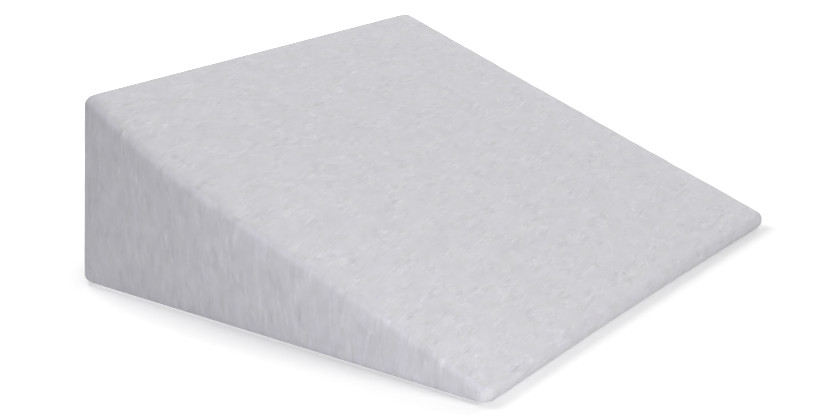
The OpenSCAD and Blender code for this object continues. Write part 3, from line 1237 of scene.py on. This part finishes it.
@dataclass
class Cover:
    """The knit cover: five panels sewn edge to edge, the back one parted for the zip."""

    form: WedgeForm
    opening: ZipOpening
    fabric: float = 1.6 * MM
    top_share: float = 0.97
    upper_share: float = 0.95
    lower_share: float = 0.85
    crease: float = 25
    seam_roll: float = 0.12 * MM
    hem_roll: float = 0.75 * MM
    stitch: float = 2.9 * MM
    stitch_gap: float = 0.7 * MM
    stitch_inset: float = 3.4 * MM
    stitch_end: float = 4 * MM
    stitch_lift: float = 0.05 * MM
    thread: float = 0.5 * MM
    thread_sides: int = 8
    thread_end: float = 0.35
    thread_dip: float = 0.55
    thread_crease: float = 60
    finish: KnitFinish = field(default_factory=KnitFinish)
    thread_finish: ThreadFinish = field(default_factory=ThreadFinish)

    def build(self, body: Object) -> None:
        """Cuts the panels from the form and dresses them.

        Args:
            body: The closed form, which is used up.
        """
        across = self.finish.material("knit_across", Grain.ACROSS)
        # The upright knit has its own grain and also the painted cool shade of its grain's tone.
        upright = self.finish.material("knit_upright", Grain.UPRIGHT)
        panels = self._cut(body)
        upper, lower = self._part_back(panels[Panel.BACK])
        depth, width, height = self.form.depth, self.form.width, self.form.back_height
        girth = self.form.profile()[1][-1]
        side_area = depth * (height + self.form.lip_height) / 2
        low = self.opening.height
        high = height - low
        rows = [
            (panels[Panel.TOP], across, "top_panel", (width, girth), self.top_share * width * girth),
            (panels[Panel.BOTTOM], across, "bottom_panel", (width, depth), None),
            (panels[Panel.LEFT], upright, "left_side_panel", (depth, height), side_area),
            (panels[Panel.RIGHT], upright, "right_side_panel", (depth, height), side_area),
            (upper, upright, "back_upper_panel", (width, high), self.upper_share * width * high),
            (lower, upright, "back_lower_panel", (width, low), self.lower_share * width * low),
        ]
        for piece, material, node, _, _ in rows:
            self._thicken(piece)
            dress(piece, material, Body.CUSHION, Slot.KNIT, node)
        halves = ((upper, Half.UPPER), (lower, Half.LOWER))
        threads = {piece.name: [self._topstitch(half)] for piece, half in halves}

    def _cut(self, body: Object) -> dict[Panel, Object]:
        """Separates the form along its seams.

        Args:
            body: The closed form.

        Returns:
            One open sheet for each panel.
        """
        before = set(bpy.data.objects) - {body}
        with editing(body, "SELECT"):
            bpy.ops.mesh.separate(type="MATERIAL")
        panels = {}
        for piece in set(bpy.data.objects) - before:
            mesh = piece.data
            mark = mesh.materials[mesh.polygons[0].material_index].name
            panel = Panel(mark.removeprefix(CUT_MARK))
            panels[panel] = settle(piece, "cover_" + panel.value)
        return panels

    def _part_back(self, back: Object) -> tuple[Object, Object]:
        """Parts the back panel at the zip and opens the slot between its halves.

        Args:
            back: The whole back panel.

        Returns:
            The upper and the lower half.
        """
        with editing(back):
            for column in self.opening.columns():
                bpy.ops.mesh.select_all(action="SELECT")
                bpy.ops.mesh.bisect(plane_co=(column, 0, 0), plane_no=(1, 0, 0))
        lower = copy_of(back, "cover_back_lower")
        upper = settle(back, "cover_back_upper")
        middle = self.opening.height
        for piece, half in ((upper, Half.UPPER), (lower, Half.LOWER)):
            with editing(piece, "SELECT"):
                cut = {"plane_co": (0, 0, middle), "plane_no": (0, 0, half.value)}
                bpy.ops.mesh.bisect(clear_inner=True, **cut)
            points = points_of(piece)
            ease = np.clip(1 - np.abs(points[:, 2] - middle) / self.opening.ease, 0, 1)
            points[:, 2] += half.value * ease * self.opening.edge(points[:, 0])
            set_points(piece, points)
        return upper, lower

    def _thicken(self, piece: Object) -> None:
        """Gives a sheet the knit's thickness inwards, and rolls its edges.

        Args:
            piece: The open sheet.
        """
        mesh = piece.data
        uses = np.zeros(len(mesh.edges), int)
        for loop in mesh.loops:
            uses[loop.edge_index] += 1
        weights = np.zeros(len(mesh.edges), np.float32)
        for number in np.flatnonzero(uses == 1):
            ends = [mesh.vertices[corner].co for corner in mesh.edges[number].vertices]
            hem = "back" in piece.name and all(self.opening.borders(end) for end in ends)
            weights[number] = 1 if hem else self.seam_roll / self.hem_roll
        mesh.attributes.new("bevel_weight_edge", "FLOAT", "EDGE").data.foreach_set("value", weights)
        finish_modifier(piece, "SOLIDIFY", thickness=self.fabric, offset=-1, use_quality_normals=True)
        finish_modifier(piece, "BEVEL", width=self.hem_roll, segments=2, limit_method="WEIGHT")
        shade_by_angle(piece, self.crease)

    def _topstitch(self, half: Half) -> Object:
        """Sews a row of stitches beside the opening.

        Args:
            half: The side of the zip.

        Returns:
            The row of thread.
        """
        pitch = self.stitch + self.stitch_gap
        count = int(2 * (self.opening.half_length - self.stitch_end) / pitch)
        start = -count * pitch / 2 + pitch / 2
        height = self.opening.height + half.value * (self.opening.slot / 2 + self.stitch_inset)
        place = (start, self.opening.back + self.stitch_lift, height)
        name = "topstitch_" + half.name.lower()
        sides, lying = self.thread_sides, (0, math.pi / 2, 0)
        row = add_rod(name, place, self.thread / 2, self.stitch, sides, lying)

        def is_cap(face: bmesh.types.BMFace, way: int) -> bool:
            """Says whether a face is the inset cap at one end."""
            return face.normal.x * way > ALIGNED and len(face.verts) == sides

        with editing(row):
            pick(row, "FACE", lambda face: abs(face.normal.x) > ALIGNED)
            bpy.ops.mesh.inset(thickness=self.thread_end * self.thread)
            for end in (-1, 1):
                pick(row, "FACE", lambda face, way=end: is_cap(face, way))
                bpy.ops.transform.translate(value=(0, -self.thread_dip * self.thread, 0))
        repeat(row, count, pitch)
        shade_by_angle(row, self.thread_crease)
        return dress(row, self.thread_finish.material(), Body.CUSHION, Slot.KNIT)


@dataclass
class FoamCore:
    """The one block of foam that fills the cover."""

    opening: ZipOpening
    inset: float = 1.9 * MM
    channel_half_length: float = 262.3 * MM
    channel_floor: float = 257.8 * MM
    channel_half_height: float = 14.3 * MM
    channel_clear: float = 5 * MM
    crease: float = 50
    finish: FoamFinish = field(default_factory=FoamFinish)

    def build(self, body: Object) -> None:
        """Shrinks a copy of the form to the foam and cuts the channel behind the zip.

        Args:
            body: The closed form of the cover.
        """
        foam = copy_of(body, "foam_block")
        finish_modifier(foam, "DECIMATE", decimate_type="UNSUBDIV", iterations=2)
        with editing(foam, "SELECT"):
            bpy.ops.transform.shrink_fatten(value=-self.inset)
        long, high, middle = self.channel_half_length, self.channel_half_height, self.opening.height
        channel = add_block(
            "zip_channel",
            (-long, self.channel_floor, middle - high),
            (long, self.opening.back + self.channel_clear, middle + high),
        )
        cut_away(foam, channel)
        shade_by_angle(foam, self.crease)
        dress(foam, self.finish.material(), Body.CUSHION, Slot.FOAM, "foam_core")


@dataclass
class ZipChain:
    """The two tapes with their rows of teeth, and the stops at their ends."""

    opening: ZipOpening
    tape_half_length: float = 262 * MM
    tape_back: float = 259.3 * MM
    tape_face: float = 259.9 * MM
    tape_near: float = 0.8 * MM
    tape_far: float = 14 * MM
    tape_rim: float = 2 * MM
    tape_lift: float = 0.05 * MM
    rim_rise: float = 0.04 * MM
    tape_round: float = 0.12 * MM
    tape_cuts: tuple[tuple[int, int], ...] = ((0, 80), (2, 5))
    chain_face: float = 261.2 * MM
    chain_half: float = 3.2 * MM
    bead: float = 1.3 * MM
    chain_start: float = -241.7 * MM
    chain_end: float = 236.9 * MM
    pitch: float = 2.9 * MM
    tooth: float = 1.2 * MM
    neck: float = 0.34
    root: float = 0.3 * MM
    tooth_bevel: float = 0.16 * MM
    bead_bevel: float = 0.45 * MM
    head: tuple[Size, ...] = ((0.24, 1.44), (0.40, 1.0), (0.36, 0.62))
    lap: float = 1.0 * MM
    first_tooth: float = -240.5 * MM
    stop_length: float = 3 * MM
    stop_rim: float = 0.55 * MM
    stop_dent: float = 0.25 * MM
    stop_round: float = 0.2 * MM
    bottom_stop: float = -245 * MM
    top_stop: float = 242 * MM
    tape_finish: TapeFinish = field(default_factory=TapeFinish)
    tooth_finish: MouldedFinish = field(default_factory=MouldedFinish)

    def build(self, metal: Material) -> None:
        """Models the tapes, the teeth and the stops.

        Args:
            metal: The stops' material.
        """
        weave = self.tape_finish.material()
        plastic = self.tooth_finish.material()
        for half in Half:
            name = half.name.lower()
            tape = dress(self._tape(half), weave, Body.CUSHION, Slot.TAPE, "zip_tape_" + name)
            dress(self._teeth(half), plastic, Body.CUSHION, Slot.TEETH, "zip_teeth_" + name)
        near = self.tape_near + SKIM
        stops = [self._stop(self.top_stop, half, near) for half in Half]
        dress(join(stops, "top_stops"), metal, Body.CUSHION, Slot.METAL, "zip_top_stops")
        end_stop = settle(self._stop(self.bottom_stop, Half.UPPER, -self.chain_half), "bottom_stop")
        dress(end_stop, metal, Body.CUSHION, Slot.METAL, "zip_bottom_stop")

    def _span(self, half: Half, near: float, far: float) -> Size:
        """Gives heights at two distances from the centre line, the lower one first."""
        heights = [self.opening.height + half.value * gap for gap in (near, far)]
        return min(heights), max(heights)

    def _tape(self, half: Half) -> Object:
        """Models one woven tape, a little thicker along its edge by the teeth.

        Args:
            half: The side of the zip.

        Returns:
            The tape.
        """
        low, high = self._span(half, self.tape_near, self.tape_far)
        inner = self.opening.height + half.value * self.tape_near
        tape = add_block(
            "tape_" + half.name.lower(),
            (-self.tape_half_length, self.tape_back + self.tape_lift, low),
            (self.tape_half_length, self.tape_face - SKIM, high),
        )

        def in_rim(face: bmesh.types.BMFace) -> bool:
            """Says whether a face lies behind the edge by the teeth."""
            return face.normal.y < -ALIGNED and abs(face.calc_center_median().z - inner) < self.tape_rim

        with editing(tape):
            for axis, cuts in self.tape_cuts:
                pick(tape, "EDGE", lambda edge, along=axis: runs_along(edge, along))
                bpy.ops.mesh.subdivide(number_cuts=cuts)
            pick(tape, "FACE", in_rim)
            bpy.ops.transform.translate(value=(0, -self.rim_rise, 0))
        return round_edges(tape, self.tape_round)

    def _teeth(self, half: Half) -> Object:
        """Models a row of moulded teeth on its bead.

        Args:
            half: The side of the zip.

        Returns:
            The row.
        """
        middle = self.opening.height
        first = self.first_tooth + (0 if half is Half.UPPER else self.pitch / 2)
        count = int((self.chain_end - self.tooth / 2 - first) / self.pitch) + 1
        back, face = self.tape_face + SKIM, self.chain_face - SKIM
        bead_in = self.chain_half - self.bead
        neck = self.neck * self.tooth
        tooth = add_block(
            "tooth", (first - neck, back, middle), (first + neck, face, middle + bead_in + self.root)
        )
        with editing(tooth):
            for drop, widen in self.head:
                pick(tooth, "FACE", lambda side: side.normal.z < -ALIGNED)
                down = (0, 0, -drop * (self.lap - SKIM))
                bpy.ops.mesh.extrude_region_move(TRANSFORM_OT_translate={"value": down})
                bpy.ops.transform.resize(value=(widen, 1, 1), center_override=(first, face, middle))
            pick(tooth, "EDGE", lambda edge: all(end.co.y > face - SKIM / 2 for end in edge.verts))
            bpy.ops.mesh.bevel(offset=self.tooth_bevel, segments=1, affect="EDGES")
        repeat(tooth, count, self.pitch)
        bead = add_block(
            "bead",
            (self.chain_start, back, middle + bead_in),
            (self.chain_end, face, middle + self.chain_half),
        )
        with editing(bead):
            pick(bead, "EDGE", lambda edge: runs_along(edge, 0) and edge.verts[0].co.y > face - SKIM / 2)
            bpy.ops.mesh.bevel(offset=self.bead_bevel, segments=3, affect="EDGES")
        row = join([bead, tooth], "teeth_" + half.name.lower())
        if half is Half.LOWER:
            points = points_of(row)
            points[:, 2] = 2 * middle - points[:, 2]
            set_points(row, points)
            face_outwards(row)
        shade_by_angle(row, CRISP_ANGLE)
        return row

    def _stop(self, start: float, half: Half, near: float) -> Object:
        """Models one crimped stop.

        Args:
            start: Its lower end along the chain.
            half: The side of the zip.
            near: How far it begins from the centre line.

        Returns:
            The stop.
        """
        low, high = self._span(half, near, self.chain_half)
        ends = (start, self.tape_face + SKIM, low), (start + self.stop_length, self.chain_face, high)
        stop = add_block("stop", *ends)
        with editing(stop):
            pick(stop, "FACE", lambda side: side.normal.y > ALIGNED)
            bpy.ops.mesh.inset(thickness=self.stop_rim)
            dent = (0, -self.stop_dent, 0)
            bpy.ops.mesh.extrude_region_move(TRANSFORM_OT_translate={"value": dent})
        return round_edges(stop, self.stop_round, 3)


@dataclass
class ZipSlider:
    """The slider that runs on the chain, and the pull that turns in its eye."""

    opening: ZipOpening
    start: float = 227.7 * MM
    end: float = 241.7 * MM
    half_width: float = 4.7 * MM
    tail_half_width: float = 4.3 * MM
    plates: tuple[Size, Size] = ((258.1 * MM, 259.0 * MM), (261.5 * MM, 262.4 * MM))
    nose_radius: float = 3.0 * MM
    tail_radius: float = 1.4 * MM
    plate_round: float = 0.25 * MM
    flange_foot: float = 260.2 * MM
    flange: float = 0.7 * MM
    flange_inset: float = 1.2 * MM
    flange_bite: float = 0.45 * MM
    rail_round: float = 0.15 * MM
    post: Size = (237.2 * MM, 240.2 * MM)
    post_half: float = 0.5 * MM
    post_sunk: float = 0.2 * MM
    eye: Size = (234.7 * MM, 264.5 * MM)
    eye_radius: float = 2.1 * MM
    eye_bore: float = 1.05 * MM
    eye_width: float = 3 * MM
    eye_bite: float = 0.4 * MM
    eye_round: float = 0.22 * MM
    eye_sides: int = 32
    round_angle: float = 50
    bar_radius: float = 0.97 * MM
    bar_round: float = 0.3 * MM
    bar_sides: int = 24
    pull_length: float = 26 * MM
    pull_half: float = 4 * MM
    pull_tip_half: float = 3 * MM
    pull_thick: float = 1.3 * MM
    pull_round: float = 0.18 * MM
    tip_radius: float = 2.7 * MM
    tip_hole: float = 1.3 * MM
    window_length: float = 5 * MM
    window_half: float = 1.9 * MM
    sunk_from_tip: float = 7.5 * MM
    sunk_from_window: float = 2.5 * MM
    sunk_rim: float = 1.0 * MM
    sunk_depth: float = 0.28 * MM

    def build(self, metal: Material) -> None:
        """Models the slider and its pull.

        Args:
            metal: Their material.
        """
        parts = [self._plate(*levels) for levels in self.plates]
        parts += [self._flange(half) for half in Half]
        parts += [self._post(), self._eye()]
        slider = join(parts, "slider")
        pull = self._pull()
        for piece in (slider, pull):
            finish_modifier(piece, "WEIGHTED_NORMAL", keep_sharp=True, weight=90)
        dress(slider, metal, Body.SLIDER, Slot.METAL, "zip_slider")
        dress(pull, metal, Body.PULL, Slot.METAL, "zip_pull")

    def _taper(self, piece: Object) -> None:
        """Narrows a full-width piece towards the slider's tail.

        Args:
            piece: The object.
        """
        points = points_of(piece)
        share = np.clip((points[:, 0] - self.start) / (self.end - self.start), 0, 1)
        wide = (self.tail_half_width + share * (self.half_width - self.tail_half_width)) / self.half_width
        points[:, 2] = self.opening.height + (points[:, 2] - self.opening.height) * wide
        set_points(piece, points)

    def _plate(self, back: float, face: float) -> Object:
        """Models one plate with rounded corners and a soft rim.

        Args:
            back: Its level towards the foam.
            face: Its level towards the outside.

        Returns:
            The plate.
        """
        middle, half = self.opening.height, self.half_width
        plate = add_block("plate", (self.start, back, middle - half), (self.end, face, middle + half))

        def at_end(edge: bmesh.types.BMEdge, end: float) -> bool:
            """Says whether an edge stands at a corner of one end."""
            return runs_along(edge, 1) and abs(edge.verts[0].co.x - end) < NEAR

        with editing(plate):
            for end, radius in ((self.end, self.nose_radius), (self.start, self.tail_radius)):
                pick(plate, "EDGE", lambda edge, at=end: at_end(edge, at))
                bpy.ops.mesh.bevel(offset=radius, segments=5, affect="EDGES")
        self._taper(plate)
        return round_edges(plate, self.plate_round, 3)

    def _flange(self, half: Half) -> Object:
        """Models the flange along one side, which keeps the chain in the slider.

        Args:
            half: The side of the zip.

        Returns:
            The flange.
        """
        middle, inset = self.opening.height, self.flange_inset
        near = middle + half.value * (self.half_width - self.flange)
        far = middle + half.value * self.half_width
        top = self.plates[1][0] + self.flange_bite
        flange = add_block(
            "flange",
            (self.start + inset, self.flange_foot, min(near, far)),
            (self.end - 2 * inset, top, max(near, far)),
        )
        self._taper(flange)
        return round_edges(flange, self.rail_round)

    def _post(self) -> Object:
        """Models the post that parts the chain and holds the plates together.

        Returns:
            The post.
        """
        middle, half = self.opening.height, self.post_half
        low, high = self.plates[0][0] + self.post_sunk, self.plates[1][1] - self.post_sunk
        post = add_block("post", (self.post[0], low, middle - half), (self.post[1], high, middle + half))
        return round_edges(post, self.rail_round)

    def _eye(self) -> Object:
        """Models the eye on the outer plate: a bored barrel on a square foot.

        Returns:
            The eye.
        """
        across, level = self.eye
        place = (across, level, self.opening.height)
        eye = add_rod("eye", place, self.eye_radius, self.eye_width, self.eye_sides)
        with editing(eye):
            pick(eye, "FACE", lambda face: abs(face.normal.z) > ALIGNED)
            bpy.ops.mesh.inset(thickness=self.eye_radius - self.eye_bore, use_individual=True)
            bpy.ops.mesh.bridge_edge_loops()
        points = points_of(eye)
        from_axis = np.hypot(points[:, 0] - across, points[:, 1] - level)
        outer = from_axis > (self.eye_bore + self.eye_radius) / 2
        points[outer & (points[:, 1] < level - SKIM / 2), 1] = self.plates[1][0] + self.eye_bite
        set_points(eye, points)
        face_outwards(eye)
        return round_edges(eye, self.eye_round, 2, self.round_angle)

    def _pull(self) -> Object:
        """Models the pull: a tapered tab with a window for the eye, a sunk face and a hole at its tip.

        Returns:
            The pull, with the bar that turns in the eye.
        """
        across, level = self.eye
        middle = self.opening.height
        half, thick = self.pull_half, self.pull_thick / 2
        tip = across - self.pull_length
        tab = add_block("tab", (tip, level - thick, middle - half), (across, level + thick, middle + half))
        points = points_of(tab)
        at_tip = points[:, 0] < tip + NEAR
        points[at_tip, 2] = middle + np.sign(points[at_tip, 2] - middle) * self.pull_tip_half
        set_points(tab, points)
        sunk = tip + self.sunk_from_tip, across - self.window_length - self.sunk_from_window

        def is_sunk(face: bmesh.types.BMFace, way: int) -> bool:
            """Says whether a face of one side is the one to sink."""
            return face.normal.y * way > ALIGNED and sunk[0] < face.calc_center_median().x < sunk[1]

        with editing(tab):
            for cut in sunk:
                bpy.ops.mesh.select_all(action="SELECT")
                bpy.ops.mesh.bisect(plane_co=(cut, level, middle), plane_no=(1, 0, 0))
            for side in (-1, 1):
                pick(tab, "FACE", lambda face, way=side: is_sunk(face, way))
                bpy.ops.mesh.inset(thickness=self.sunk_rim)
                inwards = (0, -side * self.sunk_depth, 0)
                bpy.ops.mesh.extrude_region_move(TRANSFORM_OT_translate={"value": inwards})
            pick(tab, "EDGE", lambda edge: runs_along(edge, 1) and edge.verts[0].co.x < tip + NEAR)
            bpy.ops.mesh.bevel(offset=self.tip_radius, segments=7, affect="EDGES")
        through = 5 * MM
        window = add_block(
            "window",
            (across - self.window_length, level - through, middle - self.window_half),
            (across + self.window_length, level + through, middle + self.window_half),
        )
        cut_away(tab, window)
        hole_place = (tip + self.pull_tip_half, level, middle)
        lying = (math.pi / 2, 0, 0)
        hole = add_rod("hole", hole_place, self.tip_hole, 2 * through, self.bar_sides, lying)
        cut_away(tab, hole)
        bar = add_rod("bar", (across, level, middle), self.bar_radius, 2 * half, self.bar_sides)
        widths = ((tab, self.pull_round), (bar, self.bar_round))
        return join([round_edges(piece, width, 2, self.round_angle) for piece, width in widths], "pull")


@dataclass(frozen=True)
class Lamp:
    """One large soft lamp that faces the cushion: its place, its width and its power in watts."""

    name: str
    place: Point
    span: float
    power: float

    def hang(self) -> None:
        """Adds the lamp to the scene."""
        data = bpy.data.lights.new(self.name, "AREA")
        data.size = self.span
        data.energy = self.power
        lamp = bpy.data.objects.new(self.name, data)
        lamp.location = self.place
        lamp.rotation_euler = (-Vector(self.place)).to_track_quat("-Z", "Y").to_euler()
        bpy.context.scene.collection.objects.link(lamp)


@dataclass
class Studio:
    """Camera, floor and a ring of soft lamps around a cushion."""

    form: WedgeForm
    eye: Point = (-1.2961, -0.8953, 0.5727)
    look: Point = (0.7708, 0.5542, -0.3144)
    lens: float = 64.11
    sensor: float = 36.0
    sky: float = 0.1
    floor_span: float = 14.0
    floor_bounce: float = 0.86
    floor_seen: float = 1.0
    floor_clear: float = 0.6
    # Painted light: side_lift and rim_lift lighten the cushion's shadow beside its sides for the camera.
    side_lift: float = 0.18
    side_range: Size = (-11 * MM, -1 * MM)
    rim_lift: float = 0.58
    rim_inner: Size = (-33 * MM, -21 * MM)
    rim_outer: Size = (1 * MM, -16 * MM)
    rim_end: float = -25 * MM
    # Painted light: the floor under the foot glows with this strength and lights the cushion's underside.
    foot_light: float = 0.9
    lamps: tuple[Lamp, ...] = (
        Lamp("right_lamp", (2.36, 0.0, 1.10), 1.6, 32.2),
        Lamp("back_lamp", (0.0, 1.67, 1.99), 1.6, 33.4),
        Lamp("front_lamp", (0.0, -1.67, 1.99), 1.6, 22.4),
        Lamp("left_lamp", (-1.52, -1.52, 0.46), 1.6, 13.2),
        Lamp("low_left_lamp", (-1.03, -0.72, 0.34), 0.8, 4.5),
    )

    def build(self) -> None:
        """Sets up the camera, the floor, the light and the plain view."""
        scene = bpy.context.scene
        scene.view_settings.view_transform = "Standard"
        self._camera(scene)
        self._floor()
        self._sky(scene)
        for lamp in self.lamps:
            lamp.hang()

    def _camera(self, scene: bpy.types.Scene) -> None:
        """Adds the camera at the photograph's viewing angle.

        Args:
            scene: The scene.
        """
        data = bpy.data.cameras.new("camera")
        data.lens = self.lens
        data.sensor_width = self.sensor
        camera = bpy.data.objects.new("camera", data)
        camera.location = self.eye
        camera.rotation_euler = Vector(self.look).to_track_quat("-Z", "Y").to_euler()
        scene.collection.objects.link(camera)
        scene.camera = camera

    def _floor(self) -> None:
        """Adds the pale floor, which the camera sees as white and which keeps the shadow, lightened by
        painted light near the cushion's sides, with a strip under the foot that glows to light the
        cushion's underside.
        """
        deselect()
        bpy.ops.mesh.primitive_plane_add(size=self.floor_span)
        floor = settle(bpy.context.object, "floor")
        shade = Shading(bpy.data.materials.new("floor_white"))
        lift, foot = self._lifts(shade)
        # Painted light: the strip under the foot glows for all but camera rays and lights the cushion's
        # foot.
        spill = shade.math("MULTIPLY", foot, self.foot_light)
        sides = []
        for grey, light in ((self.floor_bounce, spill), (self.floor_seen, lift)):
            paint = shade.add("BsdfDiffuse", {"Color": (grey, grey, grey, 1)})[0]
            glow = shade.add("Emission", {"Strength": light})[0]
            sides.append(shade.add("AddShader", {0: paint, 1: glow})[0])
        shade.show(shade.add("MixShader", {0: shade.seen(), 1: sides[0], 2: sides[1]})[0])
        floor.data.materials.append(shade.owner)

    def _lifts(self, shade: Shading) -> tuple[Socket, Socket]:
        """Lifts the floor to white away from the cushion, and paints light into the shadow at its sides,
        more towards the back.

        Args:
            shade: The floor's nodes.

        Returns:
            The sockets with the light that the camera sees added, painted light in the shadow included, and
            with the share of the strip under the foot, where the floor glows.
        """
        half_width, half_depth = self.form.width / 2, self.form.depth / 2
        place = shade.place()
        spread = shade.add("VectorMath", {0: place}, operation="ABSOLUTE")[0]
        footprint = (half_width, half_depth, 0)
        beyond = shade.add("VectorMath", {0: spread, 1: footprint}, operation="SUBTRACT")[0]
        outside = shade.add("VectorMath", {0: beyond, 1: (0, 0, 0)}, operation="MAXIMUM")[0]
        distance = shade.add("VectorMath", {0: outside}, operation="LENGTH")["Value"]
        aside, behind, _ = shade.add("SeparateXYZ", {0: beyond})
        edge = shade.math("MAXIMUM", aside, behind)
        strips = [
            shade.math("MULTIPLY", shade.ramp(gap, *self.rim_inner), shade.ramp(gap, *self.rim_outer))
            for gap in (aside, edge)
        ]
        # Painted light: a strip along the sides where the contact shadow is lightened.
        rim = shade.math("MULTIPLY", strips[0], shade.ramp(behind, 0, self.rim_end))
        to_back = shade.ramp(shade.add("SeparateXYZ", {0: place})[1], -half_depth, half_depth)
        # Painted light beside the cushion, stronger towards the back.
        beside = shade.math("MULTIPLY", to_back, shade.ramp(edge, *self.side_range))
        terms = [(distance, 1 / self.floor_clear), (rim, self.rim_lift), (beside, self.side_lift)]
        return shade.math("MINIMUM", shade.sum(terms, 0.0), 1.0), strips[1]

    def _sky(self, scene: bpy.types.Scene) -> None:
        """Sets an even white world, plain white where it is seen.

        Args:
            scene: The scene.
        """
        shade = Shading(bpy.data.worlds.new("sky"))
        scene.world = shade.owner
        strength = shade.add("MapRange", {"Value": shade.seen(), "To Min": self.sky, "To Max": 1.0})[0]
        shade.show(shade.add("Background", {"Color": (1, 1, 1, 1), "Strength": strength})[0])


def main() -> None:
    """Builds the cushion and its studio."""
    logging.basicConfig(level=logging.INFO, format="%(name)s: %(message)s")
    form = WedgeForm()
    opening = ZipOpening()
    Studio(form).build()
    body = form.build()
    FoamCore(opening).build(body)
    Cover(form, opening).build(body)
    metal = PlatedFinish().material()
    ZipChain(opening).build(metal)
    ZipSlider(opening).build(metal)


if __name__ == "__main__":
    main()
